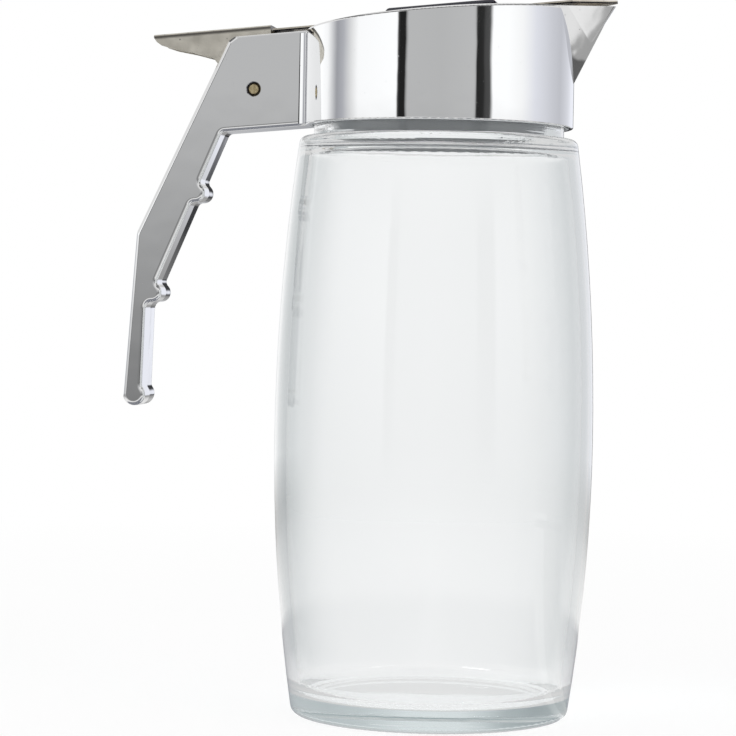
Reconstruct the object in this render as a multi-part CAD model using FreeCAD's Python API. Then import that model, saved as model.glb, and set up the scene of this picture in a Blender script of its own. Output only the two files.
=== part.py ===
import FreeCAD, Part
import math
import os

# Syrup and cream dispenser: a barrel-shaped glass jar under a cast, chrome-plated
# cap.  The cap carries a V-shaped pouring spout, a long handle with two finger
# ridges and a thumb lever that draws a flat steel gate back from the spout.
#
# Millimetres.  The origin is the centre of the jar's foot, +Z is up, +X points
# at the spout and the handle is towards -X.

# ---- jar ---------------------------------------------------------------------
BELLY_RADIUS = 54.4
BELLY_HEIGHT = 94.0
FOOT_TAPER = 7.3          # how much narrower than the belly the foot is, in radius
SHOULDER_TAPER = 7.2      # the same for the shoulder's edge
SHOULDER_HEIGHT = 196.8
GLASS_WALL = 4.0
FLOOR_THICKNESS = 7.5
HEEL_ROUND = 3.0
SHOULDER_ROUND = 2.4
INNER_HEEL_ROUND = 6.0
INNER_SHOULDER_ROUND = 4.0
FOOT_RING_WIDTH = 8.1     # from the foot's edge in to the push-up
PUSH_UP_DEPTH = 1.6
NECK_STEP = 4.6           # from the shoulder's edge in to the neck
NECK_WALL = 5.6
NECK_HEIGHT = 16.0
LIP_ROUND = 1.2

# ---- cap: ring, deck and seat --------------------------------------------------
RING_SKIRT_WALL = 2.7     # around the jar's neck
RING_WALL = 2.2           # above the neck
RING_GAP = 3.8            # clear height between the jar's shoulder and the ring
RING_HEIGHT = 36.1        # at the ring's axis, because the deck slopes
DECK_SLOPE_DEG = 4.9      # the deck rises towards the spout
DECK_THICKNESS = 2.2
RIM_ROUND = 0.8
RING_FOOT_ROUND = 0.5
NECK_CLEARANCE = 0.4
SEAT_THICKNESS = 2.4
SEAT_OVERHANG = 1.0       # how far the seat reaches in past the jar's lip

# ---- cap: spout ----------------------------------------------------------------
SPOUT_LENGTH = 14.9       # from the ring to the spout's tip, before its nose is rounded
SPOUT_HALF_WIDTH = 17.3   # where the spout leaves the ring, at the deck
SPOUT_ROOT_HEIGHT = 17.5  # where the nose line meets the ring, above the ring's foot
SPOUT_WALL = 2.0
SPOUT_NOSE_ROUND = 2.6
CREASE_SET_BACK = 1.8     # the bevel between the spout's sides and the ring
CREASE_SPREAD = 0.5
CREASE_DROP = 2.5
POUR_HALF_WIDTH = 10.5
POUR_DEPTH = 15.7         # how far in from the ring's outside the trough starts

# ---- cap: handle ---------------------------------------------------------------
HANDLE_WIDTH = 16.4
BOX_LENGTH = 26.1         # the lever housing, from the ring to its upper corner
HANDLE_SLANT_DEG = 25.3   # of the handle's back from upright
HANDLE_KNEE_DROP = 37.6   # where the back turns, below the ring's foot
HANDLE_DROP = 97.0        # the handle's lower end, below the ring's foot
HANDLE_REACH = 61.9       # from the ring to the back of the handle's lower end
GRIP_ROOT_REACH = 28.5    # from the ring to where the underside turns into the grip
GRIP_SLANT_DEG = 23.1
GRIP_LENGTH = 66.0        # from that corner to where the grip straightens
RIDGE_PLACES = (22.6, 60.2)
RIDGE_ROUND = 3.3
HANDLE_TIP_WIDTH = 6.6
KNEE_ROUND = 4.0
HANDLE_EDGE_ROUND = 1.5
TOP_EDGE_ROUND = 0.5
TOP_CORNER_CUT = 1.2
TIP_RADIUS = 3.9
GRIP_CORNER_ROUND = 2.0
HOUSING_FILLET = 3.0      # between the housing's sides and the ring

# ---- lever housing's slot and the pin --------------------------------------------
HOUSING_WALL = 1.6
EAR_CLEARANCE = 1.3       # between the lever's ears and the slot's floor
SLOT_END_CLEARANCE = 1.5
PIN_REACH = 17.4          # from the ring to the pin's axis
PIN_HEIGHT = 12.2         # above the ring's foot
PIN_RADIUS = 1.9
PIN_RECESS = 0.3
COUNTERSINK_RADIUS = 2.6
COUNTERSINK_DEPTH = 0.7
PIN_END_ROUND = 0.3

# ---- thumb lever -----------------------------------------------------------------
SHEET = 1.0
LEVER_SIDE_GAP = 0.4      # between the lever's skirts and the housing's walls
LEVER_BORE_CLEARANCE = 0.05
LEVER_RISE = 3.2          # the lever's top above the deck's plane
LEVER_REACH = 34.1        # from the pin back to the lever's tip
LEVER_NOSE = 7.0          # from the pin forward to the lever's bent lip
LEVER_LIP = 2.0           # how far the lip is bent down
LEVER_EDGE_ROUND = 1.4
LEVER_SKIRT = (           # the skirts' lower edge: (forward of the tip, below the top)
    (0.1, 1.1),
    (1.0, 2.6),
    (2.6, 3.9),
    (5.8, 5.2),
    (12.9, 7.2),
    (20.6, 9.9),
)
EAR_RADIUS = 5.5
WEB_ENGAGEMENT = 1.08     # how far the gate's tab hangs below the top of the lever's web
WEB_DEPTH = 3.6
WEB_THICKNESS = 1.0

# ---- gate ------------------------------------------------------------------------
GATE_SHEET = 1.0
GATE_LIFT = 0.9           # the gate's underside above the deck
GATE_OVERHANG = 0.3       # the gate's tip beyond the spout's, before both are rounded
GATE_HALF_WIDTH = 14.0
TONGUE_HALF_WIDTH = 5.6
TONGUE_TAB_HALF_WIDTH = 3.5
TONGUE_TAB_DEPTH = 5.6
TONGUE_CLEARANCE = 0.6    # between the lever's lip, the tongue's tab and the web
TONGUE_LENGTH = 24.0
GATE_SHOULDER = 12.0      # length over which the gate widens from the tongue
GATE_NOSE_ROUND = 1.5
RAIL_CLEARANCE = 0.1
RAIL_WIDTH = 2.0
RAIL_OFFSET = 9.0
RAIL_LENGTH = 46.0

# ---- bridge over the gate ----------------------------------------------------------
BRIDGE_LENGTH = 38.0
BRIDGE_CENTRE = 2.0
BRIDGE_HEIGHT = 4.4
BRIDGE_SHEET = 1.2
BRIDGE_SIDE_CLEARANCE = 1.0
BRIDGE_TOP_CLEARANCE = 0.7
BRIDGE_ROUND = 1.9

# ---- places worked out from the sizes above ------------------------------------------
SLOPE = math.radians(DECK_SLOPE_DEG)
FOOT_RADIUS = BELLY_RADIUS - FOOT_TAPER
PUSH_UP_RADIUS = FOOT_RADIUS - FOOT_RING_WIDTH
SHOULDER_RADIUS = BELLY_RADIUS - SHOULDER_TAPER
NECK_RADIUS = SHOULDER_RADIUS - NECK_STEP
MOUTH_RADIUS = NECK_RADIUS - NECK_WALL
RING_RADIUS = NECK_RADIUS + NECK_CLEARANCE + RING_SKIRT_WALL
SEAT_BORE_RADIUS = MOUTH_RADIUS - SEAT_OVERHANG
RING_FOOT = SHOULDER_HEIGHT + RING_GAP
DECK_AXIS = RING_FOOT + RING_HEIGHT
LIP_HEIGHT = SHOULDER_HEIGHT + NECK_HEIGHT
CHAMBER_FLOOR = LIP_HEIGHT + SEAT_THICKNESS
SPOUT_REACH = RING_RADIUS + SPOUT_LENGTH
POUR_START = RING_RADIUS - POUR_DEPTH
HALF_HANDLE = HANDLE_WIDTH / 2.0
SLOT_HALF = HALF_HANDLE - HOUSING_WALL
LEVER_HALF = SLOT_HALF - LEVER_SIDE_GAP
BOX_BACK_X = RING_RADIUS + BOX_LENGTH
GRIP_ROOT_X = RING_RADIUS + GRIP_ROOT_REACH
HANDLE_END_X = RING_RADIUS + HANDLE_REACH
PIN_X = RING_RADIUS + PIN_REACH
BIG = 400.0               # larger than the whole dispenser
OVERCUT = 1.0             # how far a cutting shape runs past a face
NEAR = 0.01               # how close counts as the same place

vec = FreeCAD.Vector


def deck_height(x):
    """Height of the deck's top plane above the foot, at a distance x from the axis."""
    return DECK_AXIS + x * math.tan(SLOPE)


def on_deck(shape):
    """Move a shape from the deck's own frame (x up the slope, z off it) into place."""
    turned = shape.copy()
    turned.rotate(vec(0, 0, 0), vec(0, 1, 0), -DECK_SLOPE_DEG)
    turned.translate(vec(0, 0, DECK_AXIS))
    return turned


def to_deck(x, z):
    """Deck-frame coordinates of a point in the part's XZ plane."""
    dx, dz = x, z - DECK_AXIS
    along = dx * math.cos(SLOPE) + dz * math.sin(SLOPE)
    off = -dx * math.sin(SLOPE) + dz * math.cos(SLOPE)
    return along, off


def block(x0, x1, y0, y1, z0, z1):
    """Box between two opposite corners."""
    return Part.makeBox(x1 - x0, y1 - y0, z1 - z0, vec(x0, y0, z0))


def prism_xz(points, half_width):
    """Solid of an XZ outline, as thick as twice half_width about Y = 0."""
    corners = [vec(x, -half_width, z) for x, z in points]
    wire = Part.makePolygon(corners + corners[:1])
    return Part.Face(wire).extrude(vec(0, 2 * half_width, 0))


def plate_xy(points, z0, z1):
    """Solid of an XY outline between two heights."""
    corners = [vec(x, y, z0) for x, y in points]
    wire = Part.makePolygon(corners + corners[:1])
    return Part.Face(wire).extrude(vec(0, 0, z1 - z0))


def edges_where(shape, test):
    """The shape's edges whose middle point passes a test."""
    found = []
    for edge in shape.Edges:
        if edge.Degenerated:
            continue
        middle = edge.valueAt((edge.FirstParameter + edge.LastParameter) / 2.0)
        if test(edge, middle):
            found.append(edge)
    return found


def ring_edges(shape, radius, height):
    """Full circles about the Z axis with a given radius and height."""
    def at_place(edge, _):
        curve = edge.Curve
        if not isinstance(curve, Part.Circle):
            return False
        same_radius = abs(curve.Radius - radius) < NEAR
        return same_radius and abs(curve.Center.z - height) < NEAR
    return edges_where(shape, at_place)


# ---- jar ---------------------------------------------------------------------------
def barrel_bow(end_radius, end_height):
    """Radius of the arc that leaves the belly upright and ends at a given point."""
    sag = BELLY_RADIUS - end_radius
    rise = abs(end_height - BELLY_HEIGHT)
    return (rise * rise + sag * sag) / (2.0 * sag)


def barrel_point(bow, inset, height):
    """Point of a barrel wall at a height, inset from the outside by a thickness."""
    centre = BELLY_RADIUS - bow
    radius = bow - inset
    return vec(centre + math.sqrt(radius ** 2 - (height - BELLY_HEIGHT) ** 2), 0, height)


def barrel_arc(bow, inset, start, end):
    """Arc of the barrel's wall between two heights."""
    points = [barrel_point(bow, inset, z) for z in (start, (start + end) / 2.0, end)]
    return Part.Arc(*points).toShape()


def polyline(points):
    """Straight edges through points of the XZ plane."""
    corners = [vec(x, 0, z) for x, z in points]
    return [Part.makeLine(a, b) for a, b in zip(corners, corners[1:])]


def revolve(edges):
    """Solid of revolution of a closed XZ outline about Z."""
    wire = Part.Wire(Part.__sortEdges__(edges))
    return Part.Face(wire).revolve(vec(0, 0, 0), vec(0, 0, 1), 360)


def jar_blank():
    """The jar's outside as a solid: push-up, foot, barrel, shoulder and neck."""
    lower = barrel_bow(FOOT_RADIUS, 0.0)
    upper = barrel_bow(SHOULDER_RADIUS, SHOULDER_HEIGHT)
    dome_bow = (PUSH_UP_RADIUS ** 2 + PUSH_UP_DEPTH ** 2) / (2.0 * PUSH_UP_DEPTH)
    half_x = PUSH_UP_RADIUS / 2.0
    half_z = PUSH_UP_DEPTH - dome_bow + math.sqrt(dome_bow ** 2 - half_x ** 2)
    dome = Part.Arc(vec(0, 0, PUSH_UP_DEPTH), vec(half_x, 0, half_z), vec(PUSH_UP_RADIUS, 0, 0))
    edges = [dome.toShape()]
    edges += polyline([(PUSH_UP_RADIUS, 0), (FOOT_RADIUS, 0)])
    edges.append(barrel_arc(lower, 0.0, 0.0, BELLY_HEIGHT))
    edges.append(barrel_arc(upper, 0.0, BELLY_HEIGHT, SHOULDER_HEIGHT))
    edges += polyline([
        (SHOULDER_RADIUS, SHOULDER_HEIGHT),
        (NECK_RADIUS, SHOULDER_HEIGHT),
        (NECK_RADIUS, LIP_HEIGHT),
        (0, LIP_HEIGHT),
        (0, PUSH_UP_DEPTH),
    ])
    blank = revolve(edges)
    blank = blank.makeFillet(HEEL_ROUND, ring_edges(blank, FOOT_RADIUS, 0.0))
    blank = blank.makeFillet(SHOULDER_ROUND, ring_edges(blank, SHOULDER_RADIUS, SHOULDER_HEIGHT))
    return blank.makeFillet(LIP_ROUND, ring_edges(blank, NECK_RADIUS, LIP_HEIGHT))


def jar_hollow():
    """The space inside the jar, up through its mouth."""
    lower = barrel_bow(FOOT_RADIUS, 0.0)
    upper = barrel_bow(SHOULDER_RADIUS, SHOULDER_HEIGHT)
    ceiling = SHOULDER_HEIGHT - GLASS_WALL
    floor_point = barrel_point(lower, GLASS_WALL, FLOOR_THICKNESS)
    ceiling_point = barrel_point(upper, GLASS_WALL, ceiling)
    edges = [
        barrel_arc(lower, GLASS_WALL, FLOOR_THICKNESS, BELLY_HEIGHT),
        barrel_arc(upper, GLASS_WALL, BELLY_HEIGHT, ceiling),
    ]
    edges += polyline([
        (ceiling_point.x, ceiling),
        (MOUTH_RADIUS, ceiling),
        (MOUTH_RADIUS, LIP_HEIGHT + OVERCUT),
        (0, LIP_HEIGHT + OVERCUT),
        (0, FLOOR_THICKNESS),
        (floor_point.x, FLOOR_THICKNESS),
    ])
    hollow = revolve(edges)
    heel = ring_edges(hollow, floor_point.x, FLOOR_THICKNESS)
    hollow = hollow.makeFillet(INNER_HEEL_ROUND, heel)
    corners = ring_edges(hollow, ceiling_point.x, ceiling)
    hollow = hollow.makeFillet(INNER_SHOULDER_ROUND, corners)
    return hollow.makeFillet(LIP_ROUND, ring_edges(hollow, MOUTH_RADIUS, ceiling))


def glass_jar():
    jar = jar_blank().cut(jar_hollow())
    return jar.makeFillet(LIP_ROUND, ring_edges(jar, MOUTH_RADIUS, LIP_HEIGHT))


# ---- cap ---------------------------------------------------------------------------
def above_deck(offset=0.0):
    """Everything above the deck's plane, lifted by an offset."""
    return on_deck(block(-BIG, BIG, -BIG, BIG, offset, BIG))


def ring_blank():
    """The cap's round body as a solid, cut to the deck's slope."""
    top = RING_HEIGHT + RING_RADIUS
    ring = Part.makeCylinder(RING_RADIUS, top, vec(0, 0, RING_FOOT)).cut(above_deck())
    rim = edges_where(ring, lambda edge, m: edge.Length > RING_RADIUS and m.z > RING_FOOT + OVERCUT)
    ring = ring.makeFillet(RIM_ROUND, rim)
    return ring.makeFillet(RING_FOOT_ROUND, ring_edges(ring, RING_RADIUS, RING_FOOT))


def spout_wedge(reach, half_width, root_height, inset=0.0, lift=0.0):
    """Three-sided wedge from the ring out to the spout's tip.

    Its two sides start on the ring, half_width to each side, and meet in a nose
    that falls from the tip to root_height on the ring.  inset draws both sides
    in by a wall, and lift raises the wedge's top above the deck.
    """
    root = vec(RING_RADIUS, 0, RING_FOOT + root_height)
    tip = vec(reach, 0, deck_height(reach))
    wing_x = math.sqrt(RING_RADIUS ** 2 - half_width ** 2)
    wing = vec(wing_x, -half_width, deck_height(wing_x))
    normal = (wing - tip).cross(root - tip)
    normal.normalize()
    shift = inset / abs(normal.x)
    nose = tip - root
    top = tip + nose * (lift / (nose.z - nose.x * math.tan(SLOPE)))
    low = root - nose * ((root.x - POUR_START) / nose.x)
    near = top + (wing - tip) * ((top.x - POUR_START) / (tip.x - wing.x))
    far = vec(near.x, -near.y, near.z)
    top, near, far, low = [vec(p.x - shift, p.y, p.z) for p in (top, near, far, low)]
    triangles = [(top, far, near), (top, near, low), (top, low, far), (near, far, low)]
    faces = [Part.Face(Part.makePolygon([a, b, c, a])) for a, b, c in triangles]
    return Part.makeSolid(Part.makeShell(faces))


def spout_blank():
    """The spout's outside with its nose rounded, and the bevel along its crease."""
    wedge = spout_wedge(SPOUT_REACH, SPOUT_HALF_WIDTH, SPOUT_ROOT_HEIGHT)
    nose = edges_where(wedge, lambda edge, m: abs(m.y) < NEAR and m.x > POUR_START + NEAR)
    wedge = wedge.makeFillet(SPOUT_NOSE_ROUND, nose)
    crease = spout_wedge(
        SPOUT_REACH - CREASE_SET_BACK,
        SPOUT_HALF_WIDTH + CREASE_SPREAD,
        SPOUT_ROOT_HEIGHT - CREASE_DROP,
    )
    above_foot = block(-BIG, BIG, -BIG, BIG, RING_FOOT + RIM_ROUND, BIG)
    return wedge.fuse(crease).common(above_foot)


def grip_corner():
    """Where the housing's underside turns down into the grip."""
    return vec(-GRIP_ROOT_X, 0, RING_FOOT - (GRIP_ROOT_X - RING_RADIUS) * math.tan(SLOPE))


def along_grip(distance):
    """Point on the grip's line, a distance below its upper corner."""
    slant = math.radians(GRIP_SLANT_DEG)
    return grip_corner() + vec(-math.sin(slant), 0, -math.cos(slant)) * distance


def across_handle(centre, radius):
    """Cylinder across the handle's full width."""
    start = vec(centre.x, -HALF_HANDLE, centre.z)
    return Part.makeCylinder(radius, HANDLE_WIDTH, start, vec(0, 1, 0))


def back_x(z):
    """Where the back of the housing and handle is at a height, above or below its knee."""
    knee_z = RING_FOOT - HANDLE_KNEE_DROP
    slant = math.tan(math.radians(HANDLE_SLANT_DEG))
    slanted = -BOX_BACK_X - (deck_height(-BOX_BACK_X) - max(z, knee_z)) * slant
    share = max(knee_z - z, 0.0) / (HANDLE_DROP - TIP_RADIUS - HANDLE_KNEE_DROP)
    return slanted + (-HANDLE_END_X - slanted) * share


def handle_outline():
    """Corners of the housing and handle in XZ, without the ridges and the tip."""
    cut_z = deck_height(-BOX_BACK_X) - TOP_CORNER_CUT
    knee_z = RING_FOOT - HANDLE_KNEE_DROP
    inner_x = -RING_RADIUS + RING_WALL / 2.0
    tip_z = RING_FOOT - HANDLE_DROP + TIP_RADIUS
    tip_x = -HANDLE_END_X + HANDLE_TIP_WIDTH
    corner = grip_corner()
    grip_end = along_grip(GRIP_LENGTH)
    return [
        (inner_x, deck_height(inner_x)),
        (-BOX_BACK_X + TOP_CORNER_CUT, deck_height(-BOX_BACK_X + TOP_CORNER_CUT)),
        (back_x(cut_z), cut_z),
        (back_x(knee_z), knee_z),
        (-HANDLE_END_X, tip_z),
        (tip_x, tip_z),
        (grip_end.x, grip_end.z),
        (corner.x, corner.z),
        (inner_x, RING_FOOT),
    ]


def handle_blank():
    """Housing and handle in one plate, with its corners and edges rounded."""
    tip_z = RING_FOOT - HANDLE_DROP + TIP_RADIUS
    plate = prism_xz(handle_outline(), HALF_HANDLE)
    tip = across_handle(vec(-HANDLE_END_X + TIP_RADIUS, 0, tip_z), TIP_RADIUS)
    ridges = [across_handle(along_grip(place), RIDGE_ROUND) for place in RIDGE_PLACES]
    plate = plate.fuse([tip] + ridges).removeSplitter()

    def hollow_corner(edge, middle):
        """Corners across the grip: at its upper end, the ridges' feet and the tip."""
        if abs(edge.Length - HANDLE_WIDTH) > NEAR or middle.z > RING_FOOT - OVERCUT:
            return False
        return middle.x > back_x(middle.z) + TIP_RADIUS

    def knee(edge, middle):
        """The handle's turn, across its back."""
        below_foot = abs(middle.z - RING_FOOT + HANDLE_KNEE_DROP) < NEAR
        return below_foot and abs(edge.Length - HANDLE_WIDTH) < NEAR

    def beside(test):
        """Sharp edges of the plate's two flat sides, outside the ring, that pass a test."""
        def at_side(_, middle):
            outside = middle.x < -RING_RADIUS + TOP_EDGE_ROUND
            return outside and abs(abs(middle.y) - HALF_HANDLE) < NEAR and test(middle)
        return edges_where(plate, at_side)

    def on_top(middle):
        return abs(middle.z - deck_height(middle.x)) < NEAR

    plate = plate.makeFillet(GRIP_CORNER_ROUND, edges_where(plate, hollow_corner))
    plate = plate.makeFillet(KNEE_ROUND, edges_where(plate, knee))
    plate = plate.makeFillet(HANDLE_EDGE_ROUND, beside(lambda middle: not on_top(middle)))
    return plate.makeFillet(TOP_EDGE_ROUND, beside(on_top))


def housing_fillet(side):
    """Rounded inner corner between the ring and one side of the housing."""
    centre_y = HALF_HANDLE + HOUSING_FILLET
    centre_x = math.sqrt((RING_RADIUS + HOUSING_FILLET) ** 2 - centre_y ** 2)
    touch = RING_RADIUS / (RING_RADIUS + HOUSING_FILLET)
    inner_x = RING_RADIUS - 2.0 * RING_WALL
    corners = [
        (-centre_x, side * HALF_HANDLE),
        (-centre_x * touch, side * centre_y * touch),
        (-inner_x, side * HALF_HANDLE),
    ]
    filler = plate_xy(corners, RING_FOOT + RING_FOOT_ROUND, BIG)
    round_off = Part.makeCylinder(HOUSING_FILLET, BIG, vec(-centre_x, side * centre_y, 0))
    return filler.cut([round_off, above_deck(-RIM_ROUND)])


def neck_socket():
    """The ring's hollow: the bore for the neck, the seat and the space over it."""
    depth = LIP_HEIGHT - RING_FOOT + OVERCUT
    below = vec(0, 0, RING_FOOT - OVERCUT)
    bore = Part.makeCylinder(NECK_RADIUS + NECK_CLEARANCE, depth, below)
    under_seat = vec(0, 0, LIP_HEIGHT - OVERCUT)
    seat_bore = Part.makeCylinder(SEAT_BORE_RADIUS, SEAT_THICKNESS + 2.0 * OVERCUT, under_seat)
    over_seat = vec(0, 0, CHAMBER_FLOOR)
    chamber = Part.makeCylinder(RING_RADIUS - RING_WALL, BIG, over_seat)
    chamber = chamber.cut(above_deck(-DECK_THICKNESS))
    return bore.fuse([seat_bore, chamber])


def pour_channel():
    """The spout's trough and the opening in the deck that leads into it."""
    trough = spout_wedge(
        SPOUT_REACH,
        SPOUT_HALF_WIDTH,
        SPOUT_ROOT_HEIGHT,
        inset=SPOUT_WALL,
        lift=DECK_THICKNESS,
    )
    half = POUR_HALF_WIDTH
    return trough.common(block(POUR_START, BIG, -half, half, CHAMBER_FLOOR, BIG))


def lever_slot():
    """The slot in the housing, open at its top and back, that takes the lever."""
    front_x = -PIN_X + web_front() + SLOT_END_CLEARANCE
    floor = RING_FOOT + PIN_HEIGHT - EAR_RADIUS - EAR_CLEARANCE
    return block(-BIG, front_x, -SLOT_HALF, SLOT_HALF, floor, BIG)


def pin_holes():
    """The pin's holes in the housing's two walls, each countersunk outside."""
    start = vec(-PIN_X, -HALF_HANDLE - OVERCUT, RING_FOOT + PIN_HEIGHT)
    length = HANDLE_WIDTH + 2.0 * OVERCUT
    holes = [Part.makeCylinder(PIN_RADIUS, length, start, vec(0, 1, 0))]
    for side in (-1, 1):
        face = vec(-PIN_X, side * HALF_HANDLE, RING_FOOT + PIN_HEIGHT)
        inward = vec(0, -side, 0)
        sink = Part.makeCone(COUNTERSINK_RADIUS, PIN_RADIUS, COUNTERSINK_DEPTH, face, inward)
        holes.append(sink)
    return holes


def gate_rails():
    """Two low rails on the deck that carry the gate."""
    height = GATE_LIFT - RAIL_CLEARANCE
    half = RAIL_LENGTH / 2.0
    rails = []
    for side in (-1, 1):
        inner, outer = sorted((side * RAIL_OFFSET, side * (RAIL_OFFSET + RAIL_WIDTH)))
        rails.append(on_deck(block(-half, half, inner, outer, -DECK_THICKNESS / 2.0, height)))
    return rails


def cap():
    fillets = [housing_fillet(side) for side in (-1, 1)]
    body = ring_blank().fuse([spout_blank(), handle_blank()] + fillets).removeSplitter()
    hollow = neck_socket().fuse(pour_channel())
    body = body.cut([hollow, lever_slot()] + pin_holes())
    return body.fuse(gate_rails())


# ---- pin -----------------------------------------------------------------------------
def pin():
    """Brass pivot pin, its ends just below the housing's sides."""
    half = HALF_HANDLE - PIN_RECESS
    start = vec(-PIN_X, -half, RING_FOOT + PIN_HEIGHT)
    rod = Part.makeCylinder(PIN_RADIUS, 2.0 * half, start, vec(0, 1, 0))
    ends = edges_where(rod, lambda edge, m: abs(abs(m.y) - half) < NEAR)
    return rod.makeChamfer(PIN_END_ROUND, ends)


# ---- thumb lever ------------------------------------------------------------------------
# The lever is drawn with its pin at the origin, x up the deck's slope and z off it.
def deck_over_pin():
    """Height of the deck's plane above the pin, square to the deck."""
    return -to_deck(-PIN_X, RING_FOOT + PIN_HEIGHT)[1]


def lever_top():
    """Height of the lever's top above the pin."""
    return deck_over_pin() + LEVER_RISE


def web_top():
    """Height of the front web's top above the pin, so that it can push the tab."""
    tab_bottom = GATE_LIFT + GATE_SHEET - TONGUE_TAB_DEPTH
    return deck_over_pin() + tab_bottom + WEB_ENGAGEMENT


def tab_rear():
    """Rear face of the gate's tab, ahead of the lever's lip."""
    return LEVER_NOSE + TONGUE_CLEARANCE


def web_front():
    """Front of the lever's web, ahead of the gate's tab."""
    return tab_rear() + GATE_SHEET + TONGUE_CLEARANCE + WEB_THICKNESS


def place_lever(shape):
    """Move a shape from the lever's drawing frame into place."""
    placed = shape.copy()
    placed.rotate(vec(0, 0, 0), vec(0, 1, 0), -DECK_SLOPE_DEG)
    placed.translate(vec(-PIN_X, 0, RING_FOOT + PIN_HEIGHT))
    return placed


def skirt_outline():
    """Side outline of the lever: its tip, skirt, front web and lip."""
    top = lever_top()
    front = web_front()
    web_rear = front - WEB_THICKNESS
    skirt = [(-LEVER_REACH + along, top - down) for along, down in LEVER_SKIRT]
    return [(-LEVER_REACH, top)] + skirt + [
        (-EAR_RADIUS, 0),
        (EAR_RADIUS, 0),
        (front, web_top() - WEB_DEPTH),
        (front, web_top()),
        (web_rear, web_top()),
        (LEVER_NOSE, top - LEVER_LIP - LEVER_EDGE_ROUND),
        (LEVER_NOSE, top),
    ]


def thumb_lever():
    """Folded steel lever: a top plate, two skirts, a front lip, a web and a bore."""
    top = lever_top()
    front = web_front()
    side = vec(0, -LEVER_HALF, 0)
    ears = Part.makeCylinder(EAR_RADIUS, 2 * LEVER_HALF, side, vec(0, 1, 0))
    body = prism_xz(skirt_outline(), LEVER_HALF).fuse(ears).removeSplitter()

    def top_side(_, middle):
        """The two long edges of the lever's top."""
        return abs(abs(middle.y) - LEVER_HALF) < NEAR and abs(middle.z - top) < NEAR

    body = body.makeFillet(LEVER_EDGE_ROUND, edges_where(body, top_side))
    inner = LEVER_HALF - SHEET
    level = web_top()
    under = block(-BIG, LEVER_NOSE - SHEET, -inner, inner, level, top - SHEET)
    lip_gap = block(LEVER_NOSE - SHEET, BIG, -inner, inner, level, top - LEVER_LIP)
    below = block(-BIG, front - WEB_THICKNESS, -inner, inner, -BIG, level)
    front_gap = block(-BIG, BIG, -inner, inner, -BIG, level - WEB_DEPTH)
    bore_radius = PIN_RADIUS + LEVER_BORE_CLEARANCE
    bore = Part.makeCylinder(bore_radius, 4 * LEVER_HALF, side * 2, vec(0, 1, 0))
    return place_lever(body.cut([under, lip_gap, below, front_gap, bore]))


# ---- gate ---------------------------------------------------------------------------------
def gate():
    """Flat steel gate: a tongue with a tab turned down, a wide middle and a nose."""
    rear = to_deck(-PIN_X, RING_FOOT + PIN_HEIGHT)[0] + tab_rear()
    tip = to_deck(SPOUT_REACH, deck_height(SPOUT_REACH))[0] + GATE_OVERHANG
    wing_x = math.sqrt(RING_RADIUS ** 2 - SPOUT_HALF_WIDTH ** 2)
    flare = (SPOUT_REACH - wing_x) / SPOUT_HALF_WIDTH
    nose_start = tip - GATE_HALF_WIDTH * flare
    wide = rear + TONGUE_LENGTH + GATE_SHOULDER
    half = [
        (rear, TONGUE_HALF_WIDTH),
        (rear + TONGUE_LENGTH, TONGUE_HALF_WIDTH),
        (wide, GATE_HALF_WIDTH),
        (nose_start, GATE_HALF_WIDTH),
        (tip, 0),
    ]
    outline = half + [(x, -y) for x, y in reversed(half[:-1])]
    top = GATE_LIFT + GATE_SHEET
    sheet = plate_xy(outline, GATE_LIFT, top)
    nose = edges_where(sheet, lambda edge, m: abs(m.x - tip) < NEAR and abs(m.y) < NEAR)
    upright = [edge for edge in nose if abs(edge.Length - GATE_SHEET) < NEAR]
    sheet = sheet.makeFillet(GATE_NOSE_ROUND, upright)
    half_tab = TONGUE_TAB_HALF_WIDTH
    tab = block(rear, rear + GATE_SHEET, -half_tab, half_tab, top - TONGUE_TAB_DEPTH, top)
    return on_deck(sheet.fuse(tab).removeSplitter())


# ---- bridge ---------------------------------------------------------------------------------
def bridge():
    """Low cover across the gate, with a tunnel that the gate slides through."""
    half_width = GATE_HALF_WIDTH + BRIDGE_SIDE_CLEARANCE + BRIDGE_SHEET
    rear = BRIDGE_CENTRE - BRIDGE_LENGTH / 2.0
    front = BRIDGE_CENTRE + BRIDGE_LENGTH / 2.0
    body = block(rear, front, -half_width, half_width, 0, BRIDGE_HEIGHT)
    body = body.makeFillet(BRIDGE_ROUND, edges_where(body, lambda edge, m: m.z > NEAR))
    inner = half_width - BRIDGE_SHEET
    tunnel_height = GATE_LIFT + GATE_SHEET + BRIDGE_TOP_CLEARANCE
    tunnel = block(-BIG, BIG, -inner, inner, -OVERCUT, tunnel_height)
    ceiling = BRIDGE_HEIGHT - BRIDGE_SHEET
    room = block(rear + BRIDGE_SHEET, front - BRIDGE_SHEET, -inner, inner, -OVERCUT, ceiling)
    return on_deck(body.cut([tunnel, room]))


# ---- write the pieces ------------------------------------------------------------------
os.makedirs("parts", exist_ok=True)
pieces = {
    "glass_jar": glass_jar(),
    "cap": cap(),
    "pin": pin(),
    "thumb_lever": thumb_lever(),
    "gate": gate(),
    "bridge": bridge(),
}
for name, shape in pieces.items():
    shape.exportStep("parts/" + name + ".step")
    cubic_cm = round(shape.Volume / 1000.0, 2)
    print(name, "solids", len(shape.Solids), "valid", shape.isValid(), "volume cm3", cubic_cm)
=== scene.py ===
# %% [markdown]
# # A syrup and cream dispenser
#
# The real object is a barrel-shaped glass jar under a cast and chrome-plated cap.
# A flat steel gate lies in the open on the cap.  Pressing the thumb lever pulls
# the gate back, and the cream runs down the V of the spout.
#
# The solids come from the CAD model, and they are already the right shape.  This
# lesson builds what a product studio and a metal polisher would add: soft lights
# and cards, and the finishes of glass, chrome plate, brass and mill-finish steel.
# Lengths are in metres, X runs from the grip to the spout, and the foot is at Z 0.

import math

import bmesh
import bpy
from mathutils import Euler, Matrix, Vector


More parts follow.
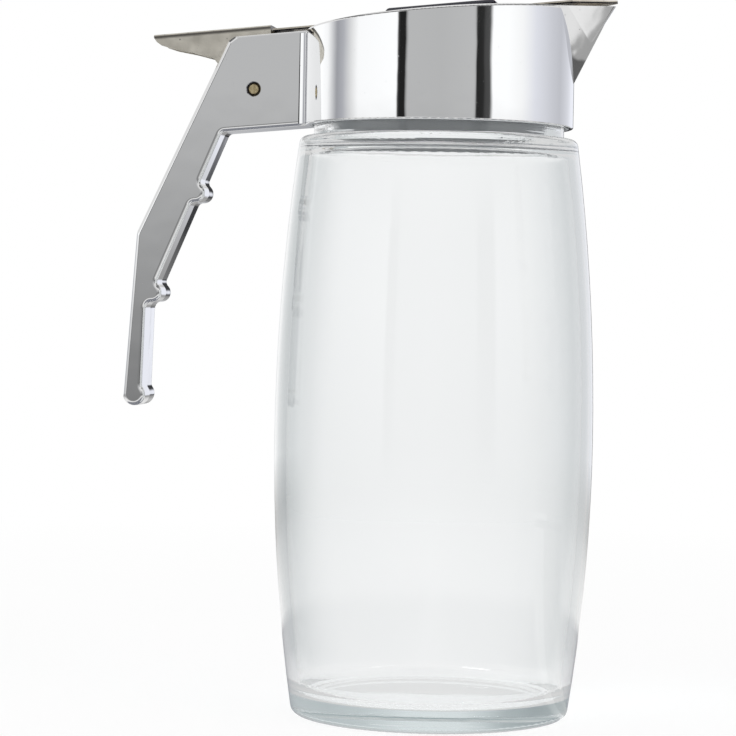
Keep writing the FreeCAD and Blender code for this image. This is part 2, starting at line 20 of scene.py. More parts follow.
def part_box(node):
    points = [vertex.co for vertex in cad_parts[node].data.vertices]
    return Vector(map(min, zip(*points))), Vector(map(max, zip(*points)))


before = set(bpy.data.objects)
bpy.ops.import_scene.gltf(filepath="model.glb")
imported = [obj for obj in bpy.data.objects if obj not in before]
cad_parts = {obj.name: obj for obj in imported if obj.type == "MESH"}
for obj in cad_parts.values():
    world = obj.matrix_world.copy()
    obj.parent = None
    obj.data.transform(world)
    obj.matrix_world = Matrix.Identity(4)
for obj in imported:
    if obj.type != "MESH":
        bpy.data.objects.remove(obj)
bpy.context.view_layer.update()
scene = bpy.context.scene
for name in sorted(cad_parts):
    low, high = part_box(name)
    print(name, [round((b - a) * 1000, 1) for a, b in zip(low, high)], "mm")

# %% [markdown]
# ## The camera
#
# A long lens from about a metre away keeps the sides of a tall jar parallel.  The
# camera is a little above the jar's middle and a little to the spout's side, so
# that the grip's inner face just shows.  Camera turns are easiest to read in the
# order yaw, pitch, roll, and the roll is a turn about the lens.

# %% Camera
LENS_MM = 131.65
SENSOR_MM = 36.0
CAMERA_PLACE = Vector((0.1215, -0.9128, 0.1415))
YAW_DEG = 9.0
PITCH_DEG = -1.455
ROLL_DEG = 1.0

camera_data = bpy.data.cameras.new("camera")
camera_data.lens = LENS_MM
camera_data.sensor_width = SENSOR_MM
camera = bpy.data.objects.new("camera", camera_data)
scene.collection.objects.link(camera)
aim = Euler((math.radians(90 + PITCH_DEG), 0, math.radians(YAW_DEG))).to_matrix()
roll = Matrix.Rotation(math.radians(ROLL_DEG), 3, "Z")
camera.matrix_world = Matrix.Translation(CAMERA_PLACE) @ (aim @ roll).to_4x4()
scene.camera = camera
scene.view_settings.view_transform = "Standard"
print("camera looks along", [round(v, 3) for v in aim @ Vector((0, 0, -1))])

# %% [markdown]
# ## Node helpers
#
# Every finish below is a small graph of nodes.  The first helper adds a node, sets
# its values by name and plugs other nodes into it.  The others start a material,
# end it, read a place on the object, and turn a number into a colour.

# %% Node helpers
WHITE = (1, 1, 1, 1)


def add(tree, kind, settings=None, **inputs):
    """Add a node; a value goes on its socket, and a socket is linked to it."""
    node = tree.nodes.new(kind)
    for key, value in (settings or {}).items():
        setattr(node, key, value)
    for key, value in inputs.items():
        numbered = key.startswith("in")
        socket = node.inputs[int(key[2:]) if numbered else key.replace("_", " ")]
        if isinstance(value, bpy.types.NodeSocket):
            tree.links.new(value, socket)
        else:
            socket.default_value = value
    return node


def empty_material(name):
    """A material with only its output node, and its node tree."""
    material = bpy.data.materials.new(name)
    material.use_nodes = True
    tree = material.node_tree
    tree.nodes.clear()
    add(tree, "ShaderNodeOutputMaterial")
    return material, tree


def show(tree, surface, volume=None):
    """Link a surface, and a volume if there is one, to the output node."""
    output = next(node for node in tree.nodes if node.type.startswith("OUTPUT"))
    tree.links.new(surface, output.inputs["Surface"])
    if volume is not None:
        tree.links.new(volume, output.inputs["Volume"])


def object_place(tree, turn=(0, 0, 0), shift=(0, 0, 0)):
    """Object coordinates in metres, after an optional turn and shift."""
    place = add(tree, "ShaderNodeTexCoord").outputs["Object"]
    return add(tree, "ShaderNodeMapping", Vector=place, Rotation=turn, Location=shift).outputs[0]


def ramp(tree, value, stops):
    """Colour ramp through (position, colour) stops."""
    node = add(tree, "ShaderNodeValToRGB", Fac=value)
    elements = node.color_ramp.elements
    elements.remove(elements[1])
    for i, (position, colour) in enumerate(stops):
        element = elements[0] if i == 0 else elements.new(position)
        element.position = position
        element.color = (*colour, 1.0)
    return node.outputs["Color"]


def grey(level):
    """A colour without a tint."""
    return (level, level, level)


print("helpers: a node, a material, its output, a place, a ramp and a grey")

# %% [markdown]
# ## What a mirror and a lens see
#
# Chrome has no colour of its own: it shows the room.  Product studios stand cards
# round it, which is why a chrome cylinder has bands.  So the studio below answers
# by the kind of ray.  Small graphs tell the kinds apart: a mirror's ray, and a ray
# that glass has bent.  A bent ray counts as glossy too, so it's taken out.

# %% Kinds of ray
def maths(tree, operation, *values, clamp=False):
    """One math operation on one or two values."""
    numbered = {f"in{i}": value for i, value in enumerate(values)}
    settings = {"operation": operation, "use_clamp": clamp}
    return add(tree, "ShaderNodeMath", settings, **numbered).outputs[0]


def bent(tree):
    """1 where glass has bent the ray."""
    return add(tree, "ShaderNodeLightPath").outputs["Is Transmission Ray"]


def mirrored(tree):
    """1 where a mirror looks."""
    path = add(tree, "ShaderNodeLightPath").outputs
    return maths(tree, "SUBTRACT", path["Is Glossy Ray"], path["Is Transmission Ray"], clamp=True)


def looked_at(tree):
    """1 for the eye, a mirror or a lens, and 0 for light that is scattered."""
    path = add(tree, "ShaderNodeLightPath").outputs
    eye = maths(tree, "MAXIMUM", path["Is Camera Ray"], path["Is Glossy Ray"])
    return maths(tree, "MAXIMUM", eye, path["Is Transmission Ray"])


def mixed(tree, share, first, second):
    """Colour first where share is 0, and second where it is 1."""
    settings = {"data_type": "RGBA"}
    return add(tree, "ShaderNodeMix", settings, in0=share, in6=first, in7=second).outputs[2]


def mixed_shader(tree, share, first, second):
    """The same for two shaders."""
    return add(tree, "ShaderNodeMixShader", in0=share, in1=first, in2=second).outputs[0]


print("kinds of ray: bent, mirrored, looked at")

# %% [markdown]
# ## The round of the studio
#
# Seen from the dispenser, only an angle matters.  It runs from 0 at the camera to
# 180 behind the jar, and is negative on the grip's side.  The coordinates are
# turned until the camera is on the X axis, and a radial gradient then reads the
# angle off.

# %% Angles round the studio
CAMERA_SIDE_DEG = 81.0
SIDE_BLEND = 0.4


def camera_turned(tree):
    """Object coordinates with the camera on the +X axis."""
    return object_place(tree, turn=(0, 0, math.radians(CAMERA_SIDE_DEG)))


def around(tree, place):
    """0 to 1 round the studio, with the camera at one half."""
    settings = {"gradient_type": "RADIAL"}
    return add(tree, "ShaderNodeTexGradient", settings, Vector=place).outputs["Fac"]


def at_angle(degrees):
    """What around gives at an angle."""
    return 0.5 + degrees / 360


def axis_of(tree, vector, axis):
    """A vector's X, Y or Z."""
    return add(tree, "ShaderNodeSeparateXYZ", Vector=vector).outputs[axis]


def over(tree, value, start, end, before, after):
    """Goes from before to after while value goes from start to end."""
    node = add(tree, "ShaderNodeMapRange", in0=value, in1=start, in2=end, in3=before, in4=after)
    return node.outputs[0]


def on_camera_side(tree, place):
    """1 on the camera's side of the dispenser and 0 behind it."""
    return over(tree, axis_of(tree, place, "X"), -SIDE_BLEND, SIDE_BLEND, 0.0, 1.0)


print("the camera is", at_angle(0), "of the way round")

# %% [markdown]
# In mirrors there is a grey card in the middle, a black gap at each side of it, and
# white diffusers beyond.  A real set has cards on stands.  Here each is a stretch
# of one colour ramp, which is quick to move and throws no shadow of its own.

# %% Cards in mirrors
NEUTRAL = (0.99, 1.0, 1.01)
COOL = (0.96, 0.98, 1.06)
MIRROR_STOPS = (
    # angle in degrees, brightness, tint
    (-180, 0.30, COOL), (-165, 1.10, NEUTRAL), (-122, 1.25, NEUTRAL), (-112, 1.15, NEUTRAL),
    (-99, 0.42, COOL), (-91, 0.54, COOL), (-82, 0.90, NEUTRAL), (-74, 1.20, NEUTRAL),
    (-38, 1.25, NEUTRAL), (-36.5, 0.02, NEUTRAL), (-30.5, 0.02, NEUTRAL), (-29, 0.585, NEUTRAL),
    (0, 0.57, NEUTRAL), (28, 0.61, NEUTRAL), (29.5, 0.025, NEUTRAL), (35, 0.03, NEUTRAL),
    (37, 0.08, NEUTRAL), (41.5, 0.09, NEUTRAL), (43, 1.25, NEUTRAL), (58, 1.25, NEUTRAL),
    (72, 1.15, NEUTRAL), (87, 0.94, COOL), (109, 0.74, COOL), (122, 0.66, COOL),
    (140, 0.84, COOL), (150, 1.0, COOL), (164.8, 1.0, COOL), (166.2, 0.05, COOL),
    (176, 0.05, COOL),
)


def cards(tree, place):
    """Colour of the cards in mirrors."""
    stops = [(at_angle(a), [level * t for t in tint]) for a, level, tint in MIRROR_STOPS]
    return ramp(tree, around(tree, place), stops)


print(len(MIRROR_STOPS), "stops in mirrors")

# %% [markdown]
# Through the glass there is a white backdrop that falls off to its sides, and that
# fall-off is what draws a clear jar's edges.  It loses red first, so its darker
# parts are a little cool.  Each channel is the brightness to a power of its own,
# which leaves white as it is.

# %% Backdrop through glass
BACKDROP_SHIFT = 0.25
BACKDROP_POWERS = (1.09, 1.0, 0.975)
BACKDROP_STOPS = (
    # angle in degrees, brightness
    (-180, 0.93), (-174, 0.91), (-168, 0.74), (-162, 0.56), (-150, 0.46), (-112, 0.56),
    (-60, 0.74), (0, 0.85), (60, 0.80), (112, 0.72), (150, 0.64), (162, 0.70),
    (168, 0.80), (174, 0.91), (180, 0.93),
)


def backdrop(tree, place):
    """Colour of the backdrop in glass, as seen from a point nearer the camera."""
    nearer = add(tree, "ShaderNodeVectorMath", {"operation": "SUBTRACT"},
                 in0=place, in1=(BACKDROP_SHIFT, 0, 0)).outputs[0]
    stops = [(at_angle(a), [level ** p for p in BACKDROP_POWERS]) for a, level in BACKDROP_STOPS]
    return ramp(tree, around(tree, nearer), stops)


print(len(BACKDROP_STOPS), "stops through glass")

# %% [markdown]
# ## The floor in mirrors
#
# The cards' brightness goes on across the floor, from the wall inward.  The patch
# just under the dispenser is dark, which lines the lower edges of the cap.  On the
# spout's side lie two white cards with a black one between them: they draw the
# spout's facets.  Each white card stops at an edge of its own, and the bare floor
# past it shows as a grey band along the spout's nose.

# %% Floor in mirrors
CARD_FOOT_LEVEL = 0.42
TABLE_LEVEL = 0.37
TABLE_RINGS = (
    # radius in metres, colour
    (0.20, (0.10, 0.11, 0.15)), (0.24, grey(1.0)), (0.30, grey(1.0)), (0.62, grey(TABLE_LEVEL)),
)
TABLE_CARDS = (
    # radius in metres, colour
    (0.500, grey(1.0)), (0.507, grey(0.04)), (0.553, grey(0.04)), (0.560, grey(0.95)),
    (0.600, grey(0.95)), (0.610, grey(TABLE_LEVEL)),
)
TABLE_CARDS_OPEN = (72, 76)
TABLE_CARDS_CLOSE = (100, 104)
TABLE_CUT_RADII = (0.50, 0.53)
TABLE_CUT_ANGLES = (83.07, 86.12)
TABLE_END = (0.75, 1.4)


def scaled(tree, colour, level):
    """A colour times a brightness."""
    settings = {"operation": "SCALE"}
    return add(tree, "ShaderNodeVectorMath", settings, in0=colour, Scale=level).outputs[0]


def table_in_mirrors(tree, place, radius):
    """The floor as chrome shows it."""
    opening, closing, cut_angles = [
        [at_angle(a) for a in angles]
        for angles in (TABLE_CARDS_OPEN, TABLE_CARDS_CLOSE, TABLE_CUT_ANGLES)
    ]
    side = around(tree, place)
    window = maths(tree, "MULTIPLY", over(tree, side, *opening, 0.0, 1.0),
                   over(tree, side, *closing, 1.0, 0.0))
    beyond = maths(tree, "GREATER_THAN", side, over(tree, radius, *TABLE_CUT_RADII, *cut_angles))
    most = over(tree, beyond, 0.0, 1.0, 1.0, TABLE_LEVEL)
    strips = maths(tree, "MINIMUM", ramp(tree, radius, TABLE_CARDS), most)
    near = mixed(tree, window, ramp(tree, radius, TABLE_RINGS), strips)
    foot = over(tree, on_camera_side(tree, place), 0.0, 1.0, 1.0, CARD_FOOT_LEVEL)
    far = scaled(tree, cards(tree, place), foot)
    return mixed(tree, over(tree, radius, *TABLE_END, 0.0, 1.0), near, far)


print("floor shows the wall's cards from", TABLE_END[1], "m out")

# %% [markdown]
# ## The floor
#
# Product studios use a white sweep so bright that it has no horizon.  The floor
# here is a real diffuse surface, so the jar's shadow falls on it, mixed with its
# own light wherever it's looked at, and more so away from the jar.

# %% Floor
FLOOR_HALF = 6.0
FLOOR_DROP = 0.0001
FLOOR_COLOUR = (0.9, 0.9, 0.9, 1)
FLOOR_OWN_LIGHT = 0.8
SHADOW_RADII = (0.32, 0.8)
FOOT_COLOUR = (0.95, 0.95, 0.95, 1)
FOOT_RADII = (0.07, 0.15)


def length_of(tree, vector, keep=(1, 1, 1)):
    """Length of a vector, counting only the axes where keep is 1."""
    kept = add(tree, "ShaderNodeVectorMath", {"operation": "MULTIPLY"}, in0=vector, in1=keep)
    length = add(tree, "ShaderNodeVectorMath", {"operation": "LENGTH"}, in0=kept.outputs[0])
    return length.outputs["Value"]


def floor_material():
    material, tree = empty_material("white_sweep")
    place = camera_turned(tree)
    radius = length_of(tree, place, keep=(1, 1, 0))
    foot = over(tree, radius, *FOOT_RADII, 0.0, 1.0)
    through = mixed(tree, foot, FOOT_COLOUR, backdrop(tree, place))
    shown = mixed(tree, mirrored(tree), WHITE, table_in_mirrors(tree, place, radius))
    colour = mixed(tree, bent(tree), shown, through)
    light = add(tree, "ShaderNodeEmission", Color=colour).outputs[0]
    paint = add(tree, "ShaderNodeBsdfDiffuse", Color=FLOOR_COLOUR).outputs[0]
    own = over(tree, radius, *SHADOW_RADII, FLOOR_OWN_LIGHT, 1.0)
    show(tree, mixed_shader(tree, maths(tree, "MULTIPLY", looked_at(tree), own), paint, light))
    return material


def linked_mesh(name, shape, material):
    """Finish a bmesh as an object that stands at the origin."""
    mesh = bpy.data.meshes.new(name)
    shape.to_mesh(mesh)
    shape.free()
    mesh.materials.append(material)
    piece = bpy.data.objects.new(name, mesh)
    scene.collection.objects.link(piece)
    return piece


sheet = bmesh.new()
bmesh.ops.create_grid(sheet, x_segments=1, y_segments=1, size=FLOOR_HALF)
bmesh.ops.translate(sheet, verts=sheet.verts[:], vec=(0, 0, -FLOOR_DROP))
floor = linked_mesh("floor", sheet, floor_material())
print("floor is", 2 * FLOOR_HALF, "m square")

# %% [markdown]
# ## The studio wall
#
# One round wall carries the cards.  It glows for mirrors and lenses only, and all
# other light passes through it.  On the camera's side the card gets darker toward
# the floor, so a long flat chrome face gets darker downward too.  Over the cards
# the wall is evenly pale, up to a dark rail, which draws a thin dark line along
# every upper edge of the cap.

# %% Studio wall
WALL_RADIUS = 2.0
WALL_HEIGHT = 1.9
WALL_FACES = 96
CARD_FADE = (0.02, 0.36)
CARD_TOP = (0.55, 0.75)
RAIL_LEVEL = 0.16
UPPER_WALL = (
    # share of the wall's height, colour
    (0.0, grey(0.88)), (0.78, grey(0.88)), (0.84, grey(RAIL_LEVEL)),
)


def wall_material():
    material, tree = empty_material("studio_wall")
    place = camera_turned(tree)
    height = axis_of(tree, place, "Z")
    card_fade = over(tree, height, *CARD_FADE, CARD_FOOT_LEVEL, 1.0)
    fade = over(tree, on_camera_side(tree, place), 0.0, 1.0, 1.0, card_fade)
    low = scaled(tree, cards(tree, place), fade)
    high = ramp(tree, over(tree, height, 0.0, WALL_HEIGHT, 0.0, 1.0), UPPER_WALL)
    shown = mixed(tree, over(tree, height, *CARD_TOP, 0.0, 1.0), low, high)
    colour = mixed(tree, bent(tree), shown, backdrop(tree, place))
    light = add(tree, "ShaderNodeEmission", Color=colour).outputs[0]
    clear = add(tree, "ShaderNodeBsdfTransparent").outputs[0]
    seen = maths(tree, "MAXIMUM", mirrored(tree), bent(tree))
    show(tree, mixed_shader(tree, seen, clear, light))
    return material


hoop = bmesh.new()
bmesh.ops.create_circle(hoop, segments=WALL_FACES, radius=WALL_RADIUS)
lifted = bmesh.ops.extrude_edge_only(hoop, edges=hoop.edges[:])
upper = [v for v in lifted["geom"] if isinstance(v, bmesh.types.BMVert)]
bmesh.ops.translate(hoop, verts=upper, vec=(0, 0, WALL_HEIGHT))
wall = linked_mesh("studio_wall", hoop, wall_material())
print("wall has", len(wall.data.polygons), "faces")

# %% [markdown]
# The ceiling works the same way: one large round diffuser with a dark border.  Only
# mirrors see it.

# %% Studio ceiling
DIFFUSER_RADII = (1.35, 1.5)
DIFFUSER_LEVEL = 0.95


def ceiling_material():
    material, tree = empty_material("studio_ceiling")
    radius = length_of(tree, object_place(tree, shift=(0, 0, -WALL_HEIGHT)))
    level = over(tree, radius, *DIFFUSER_RADII, DIFFUSER_LEVEL, RAIL_LEVEL)
    light = add(tree, "ShaderNodeEmission", Strength=level).outputs[0]
    clear = add(tree, "ShaderNodeBsdfTransparent").outputs[0]
    show(tree, mixed_shader(tree, mirrored(tree), clear, light))
    return material


disc = bmesh.new()
bmesh.ops.create_circle(disc, cap_ends=True, segments=WALL_FACES, radius=WALL_RADIUS)
bmesh.ops.translate(disc, verts=disc.verts[:], vec=(0, 0, WALL_HEIGHT))
ceiling = linked_mesh("studio_ceiling", disc, ceiling_material())
print("ceiling at", WALL_HEIGHT, "m")

# %% [markdown]
# ## Light
#
# The world is white where something looks at it, and a little less than white as
# a lamp.  Two large soft lamps make up the rest, one from each side, so that a
# colour renders about as it is written.

# %% World and lamps
WORLD_LIGHT = 0.7
LAMP_SIZE = 1.8
LAMP_AIM = Vector((0, 0, 0.12))

world = bpy.data.worlds.new("studio")
scene.world = world
world.use_nodes = True
sky = world.node_tree
sky.nodes.clear()
add(sky, "ShaderNodeOutputWorld")
strength = over(sky, looked_at(sky), 0.0, 1.0, WORLD_LIGHT, 1.0)
show(sky, add(sky, "ShaderNodeBackground", Color=WHITE, Strength=strength).outputs[0])


def soft_lamp(name, place, watts):
    """Square area lamp aimed at the middle of the dispenser."""
    data = bpy.data.lights.new(name, "AREA")
    data.shape = "SQUARE"
    data.size = LAMP_SIZE
    data.energy = watts
    lamp = bpy.data.objects.new(name, data)
    scene.collection.objects.link(lamp)
    lamp.location = place
    lamp.rotation_euler = (LAMP_AIM - Vector(place)).to_track_quat("-Z", "Y").to_euler()
    lamp.visible_glossy = False


soft_lamp("left_lamp", place=(-2.4, -2.0, 2.4), watts=55)
soft_lamp("right_lamp", place=(2.6, -1.4, 1.8), watts=35)
print("lamps:", [lamp.name for lamp in bpy.data.lights])

# %% [markdown]
# ## Glass
#
# The jar is pressed soda-lime glass.  It is clear, but iron in the sand makes a
# thick edge blue-green, and that is absorption: it grows with the length of the
# ray inside the wall.  A volume does this by itself, so the middle of the jar
# stays pale and its edges darken.  Pressed glass is never quite flat, and a long
# faint ripple bends what is seen through it.  The shoulder and the neck touched
# the cold ring of the mould first, and they keep fine level chill lines.
#
# Two things in real glass take more bounces than a render counts.  Light is
# trapped in the foot and the neck and goes round inside them, so after its third
# mirror bounce a ray finds an even pale glow in place of the glass.  And a lamp's
# ray can't be refracted onto the table in a short render, so for shadows the wall
# is a pale filter.

# %% Glass
GLASS_IOR = 1.5
GLASS_TINT = (0.49, 0.63, 0.65, 1)
GLASS_DENSITY = 6.0
GLASS_SHADOW = (0.90, 0.93, 0.935, 1)
TRAPPED_AFTER = 2.5
TRAPPED_LIGHT = (0.76, 0.74, 0.735, 1)
RIPPLE_STRETCH = (1, 1, 0.35)
RIPPLE_PER_M = 22.0
RIPPLE_DEPTH = 0.00006
CHILL_HEIGHTS = (0.188, 0.194)
CHILL_STRETCH = (0.03, 0.03, 1)
CHILL_PER_M = 300.0
CHILL_DEPTH = 0.0003


def noise(tree, place, per_m, detail, stretch=(1, 1, 1)):
    """Cloudy noise about one half, longer along an axis whose stretch is small."""
    spread = add(tree, "ShaderNodeMapping", Vector=place, Scale=stretch).outputs[0]
    node = add(tree, "ShaderNodeTexNoise", Vector=spread, Scale=per_m, Detail=detail)
    return node.outputs["Fac"]


def relief(tree, height, depth, under=None, strength=1.0):
    """Bump of height times depth in metres, on top of the one under it."""
    base = {} if under is None else {"Normal": under}
    node = add(tree, "ShaderNodeBump", Strength=strength, Distance=depth, Height=height, **base)
    return node.outputs[0]


def glass():
    material, tree = empty_material("clear_pressed_glass")
    place = object_place(tree)
    ripple = noise(tree, place, RIPPLE_PER_M, detail=1.0, stretch=RIPPLE_STRETCH)
    lines = noise(tree, place, CHILL_PER_M, detail=2.0, stretch=CHILL_STRETCH)
    chill = over(tree, axis_of(tree, place, "Z"), *CHILL_HEIGHTS, 0.0, 1.0)
    rippled = relief(tree, ripple, RIPPLE_DEPTH)
    marked = relief(tree, maths(tree, "MULTIPLY", lines, chill), CHILL_DEPTH, under=rippled)
    clear = add(tree, "ShaderNodeBsdfPrincipled", Transmission_Weight=1.0, IOR=GLASS_IOR,
                Roughness=0.0, Base_Color=WHITE, Normal=marked).outputs[0]
    glow = add(tree, "ShaderNodeEmission", Color=TRAPPED_LIGHT).outputs[0]
    shade = add(tree, "ShaderNodeBsdfTransparent", Color=GLASS_SHADOW).outputs[0]
    path = add(tree, "ShaderNodeLightPath").outputs
    trapped = maths(tree, "GREATER_THAN", path["Glossy Depth"], TRAPPED_AFTER)
    body = mixed_shader(tree, trapped, clear, glow)
    tint = add(tree, "ShaderNodeVolumeAbsorption", Color=GLASS_TINT, Density=GLASS_DENSITY)
    show(tree, mixed_shader(tree, path["Is Shadow Ray"], body, shade), volume=tint.outputs[0])
    return material


def finish_node(name, material):
    """Give a solid its finish; its shape and place stay as they are."""
    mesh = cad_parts[name].data
    for i in range(len(mesh.materials)):
        mesh.materials[i] = material
    print(name, "has", material.name)


finish_node("glass_jar", glass())

# %% [markdown]
# ## Marks of the casting
#
# The cap is a zinc casting, polished and plated.  Its inside was never polished,
# and it's dull and pale.  The mould opened along the middle of the grip, so the
# grip's narrow faces lean back from that plane by a couple of degrees, and each
# half shows its own card.  So small a lean is made as a bump, because only the
# reflections tell of it.

# %% Marks of the casting
INSIDE_RADIUS = 0.0442
DECK_UNDERSIDE = 0.2325
INSIDE_BLEND = 0.0002
GRIP_ENDS = (-0.073, -0.050)
GRIP_HALF = 0.0082
DRAFT_DEG = 2.0


def normal_of(tree, axis):
    """How far a face looks along an axis, from -1 to 1."""
    return axis_of(tree, add(tree, "ShaderNodeNewGeometry").outputs["Normal"], axis)


def cast_inside(tree, place):
    """1 on the cap's inside, which keeps the dull skin of the casting."""
    radius = length_of(tree, place, keep=(1, 1, 0))
    height = axis_of(tree, place, "Z")
    inner = over(tree, radius, INSIDE_RADIUS - INSIDE_BLEND, INSIDE_RADIUS, 1.0, 0.0)
    under = over(tree, height, DECK_UNDERSIDE - INSIDE_BLEND, DECK_UNDERSIDE, 1.0, 0.0)
    return maths(tree, "MULTIPLY", inner, under)


def parting_draft(tree, place, under):
    """The grip's narrow faces lean away from the mould's parting plane at Y 0."""
    ridge = GRIP_HALF * math.tan(math.radians(DRAFT_DEG))
    off = maths(tree, "ABSOLUTE", axis_of(tree, place, "Y"))
    sideways = maths(tree, "ABSOLUTE", normal_of(tree, "Y"))
    rise = over(tree, off, 0.0, GRIP_HALF, ridge, 0.0)
    on_grip = over(tree, axis_of(tree, place, "X"), *GRIP_ENDS, 1.0, 0.0)
    narrow = over(tree, sideways, 0.0, 1.0, 1.0, 0.0)
    metres = maths(tree, "MULTIPLY", rise, maths(tree, "MULTIPLY", on_grip, narrow))
    return relief(tree, metres, depth=1.0, under=under)


print("grip leans", DRAFT_DEG, "degrees from its parting line")

# %% [markdown]
# ## Chrome
#
# Plating is thin, so the casting shows through as a faint waviness: a straight card
# edge comes back with small kinks.  Handling adds a haze that is barely rougher
# than the rest, and a few pits stay from the casting.  Two places are painted dark,
# as shade: the recess round the pin, and the sides of the small cover, a stamped
# sheet.

# %% Chrome
CHROME_COLOUR = (0.80, 0.80, 0.80, 1)
WAVE_PER_M = 70.0
WAVE_DEPTH = 0.00007
CLOUD_PER_M = 42.0
CLOUD_RANGE = (0.35, 0.75)
HAZE = (0.02, 0.07)
PIT_PER_M = 260.0
PIT_REACH = 0.07
PIT_ROUGHNESS = 0.35
# painted shade: the near-black that chrome takes in the pin's recess and on the cover's sides
PAINTED_SHADE_COLOUR = (0.05, 0.05, 0.06, 1)
SKIN_COLOUR = (0.70, 0.72, 0.74, 1)
SKIN_ROUGHNESS = 0.6
SKIN_METALLIC = 0.2


def cells(tree, place, per_m):
    """Distance to the nearest of many scattered points, in cells."""
    return add(tree, "ShaderNodeTexVoronoi", Vector=place, Scale=per_m).outputs["Distance"]


def show_metal(tree, colour, roughness, normal, metallic=1.0):
    """End a material with a metal surface."""
    shader = add(tree, "ShaderNodeBsdfPrincipled", Metallic=metallic, Base_Color=colour,
                 Roughness=roughness, Normal=normal)
    show(tree, shader.outputs[0])


def chrome(name, stain):
    """Polished chrome, painted dark as shade where the function it's given is 1."""
    material, tree = empty_material(name)
    place = object_place(tree)
    waved = relief(tree, noise(tree, place, WAVE_PER_M, detail=1.5), WAVE_DEPTH)
    pits = over(tree, cells(tree, place, PIT_PER_M), 0.0, PIT_REACH, PIT_ROUGHNESS, 0.0)
    haze = over(tree, noise(tree, place, CLOUD_PER_M, detail=4.0), *CLOUD_RANGE, *HAZE)
    dull = cast_inside(tree, place)
    rough = over(tree, dull, 0.0, 1.0, maths(tree, "ADD", pits, haze), SKIN_ROUGHNESS)
    metallic = over(tree, dull, 0.0, 1.0, 1.0, SKIN_METALLIC)
    # painted shade: the chrome goes near-black where shade is painted
    plated = mixed(tree, stain(tree), CHROME_COLOUR, PAINTED_SHADE_COLOUR)
    colour = mixed(tree, dull, plated, SKIN_COLOUR)
    show_metal(tree, colour, rough, parting_draft(tree, place, under=waved), metallic)
    return material


print("chrome is ready for its stains")

# %% [markdown]
# The painted shade is a function, handed to the same chrome, so the cap and the cover
# share everything but the places where shade is painted dark.

# %% Chrome cap and cover
RECESS_RADII = (0.00234, 0.002704)
CUT_EDGE_UP = (0.90, 0.98)

pin_low, pin_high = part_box("pin")
pin_centre = (pin_low + pin_high) / 2


def pin_recess(tree):
    """Painted shade in the countersink round the pin, measured from the pin's axis."""
    radius = length_of(tree, object_place(tree, shift=tuple(-pin_centre)), keep=(1, 0, 1))
    return over(tree, radius, *RECESS_RADII, 1.0, 0.0)


def cut_edge(tree):
    """Painted shade on the sides of a stamped sheet, which don't face up."""
    return over(tree, normal_of(tree, "Z"), *CUT_EDGE_UP, 1.0, 0.0)


finish_node("cap", chrome("polished_chrome", pin_recess))
# the cover's sides get painted shade
finish_node("bridge", chrome("plated_cover", cut_edge))

# %% [markdown]
# ## Brass
#
# The pin was cut off a turned rod, so its ends carry fine rings round its axis.
# A wave texture in rings does that, once the coordinates are moved to the axis.

# %% Brass
TURNING_PER_M = 1400.0
TURNING_WANDER = 0.4
TURNING_STRENGTH = 0.3
FINE_DEPTH = 0.00002
TARNISH_PER_M = 900.0
BRASS_STOPS = ((0.3, (0.42, 0.33, 0.18)), (0.7, (0.70, 0.60, 0.38)))
BRASS_ROUGHNESS = 0.35


def brass():
    material, tree = empty_material("turned_brass")
    place = object_place(tree, shift=tuple(-pin_centre))
    rings = add(tree, "ShaderNodeTexWave", {"wave_type": "RINGS", "rings_direction": "Y"},
                Vector=place, Scale=TURNING_PER_M, Distortion=TURNING_WANDER).outputs["Fac"]
    colour = ramp(tree, noise(tree, place, TARNISH_PER_M, detail=3.0), BRASS_STOPS)
    turned = relief(tree, rings, FINE_DEPTH, strength=TURNING_STRENGTH)
    show_metal(tree, colour, BRASS_ROUGHNESS, turned)
    return material


finish_node("pin", brass())

# %% [markdown]
# ## Mill-finish steel
#
# The lever and the gate are stamped from sheet that was never polished.  Rolling
# leaves a grain of fine scratches along the sheet, which here is along X.  Wear
# and washing leave a brownish mottle, and small dark specks sit in the grain.

# %% Mill-finish steel
GRAIN_PER_M = 900.0
GRAIN_STRETCH = (0.04, 1, 1)
GRAIN_RANGE = (0.3, 0.7)
GRAIN_STRENGTH = 0.5
POLISHED_BY = 0.08
ROUGHENED_BY = 0.1
MOTTLE_PER_M = 160.0
MOTTLE_RANGE = (0.30, 0.68)
SPECK_PER_M = 420.0
SPECK_REACH = (0.05, 0.16)
SPECK_LEVEL = 0.35


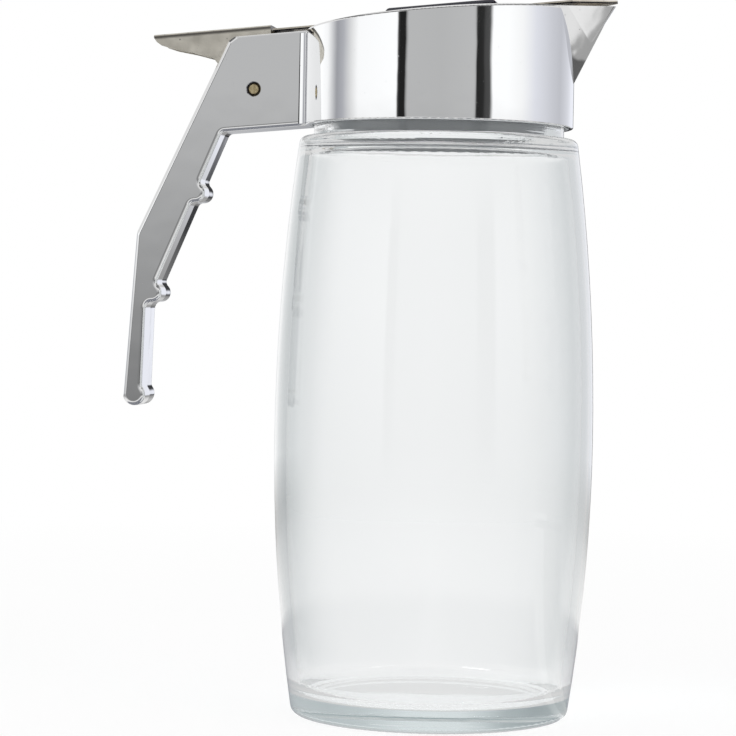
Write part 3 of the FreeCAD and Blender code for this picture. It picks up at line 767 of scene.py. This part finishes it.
def mill_steel(name, mottle_colours, roughness, edge, edge_shade_colour):
    """Rolled sheet; edge(tree) is 1 where shade is painted dark on its edge."""
    material, tree = empty_material(name)
    place = object_place(tree)
    grain = noise(tree, place, GRAIN_PER_M, detail=3.0, stretch=GRAIN_STRETCH)
    mottle = noise(tree, place, MOTTLE_PER_M, detail=5.0)
    specks = over(tree, cells(tree, place, SPECK_PER_M), *SPECK_REACH, SPECK_LEVEL, 1.0)
    sheet_colour = ramp(tree, mottle, list(zip(MOTTLE_RANGE, mottle_colours)))
    marked = scaled(tree, sheet_colour, specks)
    rough = over(tree, grain, *GRAIN_RANGE, roughness - POLISHED_BY, roughness + ROUGHENED_BY)
    # painted shade: the edge shade colour goes on where edge(tree) is 1
    show_metal(tree, mixed(tree, edge(tree), marked, edge_shade_colour), rough,
               relief(tree, grain, FINE_DEPTH, strength=GRAIN_STRENGTH))
    return material


print("steel is ready for its edges")

# %% [markdown]
# ## Edges of the steel
#
# Shade is painted onto the steel's edges.  The upper part of the gate's edge keeps
# the sheet's colour, and the lower part is painted near-black as the shade under the
# gate.  The lever is folded from sheet, and its bends are painted dark just under its
# top, as shade.  Both bands run level with the cap's deck, which slopes, so height is
# measured square to the deck.

# %% Lever and gate
DECK_TILT = math.radians(4.9)
SHEET = 0.001
EDGE_FLATNESS = (0.6, 0.8)
LEVER_COLOURS = ((0.58, 0.55, 0.48), (0.84, 0.80, 0.71))
LEVER_ROUGHNESS = 0.38
LEVER_SHADE_BAND = (-1.2 * SHEET, -1.8 * SHEET)
# painted shade along the lever's bends, just under its top
LEVER_PAINTED_SHADE = (0.16, 0.15, 0.135, 1)
GATE_COLOURS = ((0.48, 0.44, 0.37), (0.72, 0.67, 0.57))
GATE_ROUGHNESS = 0.30
GATE_SHADE_BAND = (-0.60 * SHEET, -0.45 * SHEET)
# painted shade along the lower part of the gate's edge
GATE_PAINTED_SHADE = (0.012, 0.012, 0.016, 1)


def top_over_deck(name):
    """Height of a solid's highest point, square to the sloping deck."""
    points = [v.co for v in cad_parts[name].data.vertices]
    return max(p.z * math.cos(DECK_TILT) - p.x * math.sin(DECK_TILT) for p in points)


def painted_shade_edge(name, band):
    """An edge for mill_steel: painted shade from the first height on, and clean from the second.
    """
    full, none = [top_over_deck(name) + step for step in band]

    def edge(tree):
        height = axis_of(tree, object_place(tree, turn=(0, DECK_TILT, 0)), "Z")
        flatness = maths(tree, "ABSOLUTE", normal_of(tree, "Z"))
        return maths(tree, "MULTIPLY", over(tree, height, full, none, 1.0, 0.0),
                     over(tree, flatness, *EDGE_FLATNESS, 1.0, 0.0))

    return edge


finish_node("thumb_lever", mill_steel("lever_mill_steel", LEVER_COLOURS, LEVER_ROUGHNESS,
                                      painted_shade_edge("thumb_lever", LEVER_SHADE_BAND), LEVER_PAINTED_SHADE))
finish_node("gate", mill_steel("gate_mill_steel", GATE_COLOURS, GATE_ROUGHNESS,
                               painted_shade_edge("gate", GATE_SHADE_BAND), GATE_PAINTED_SHADE))
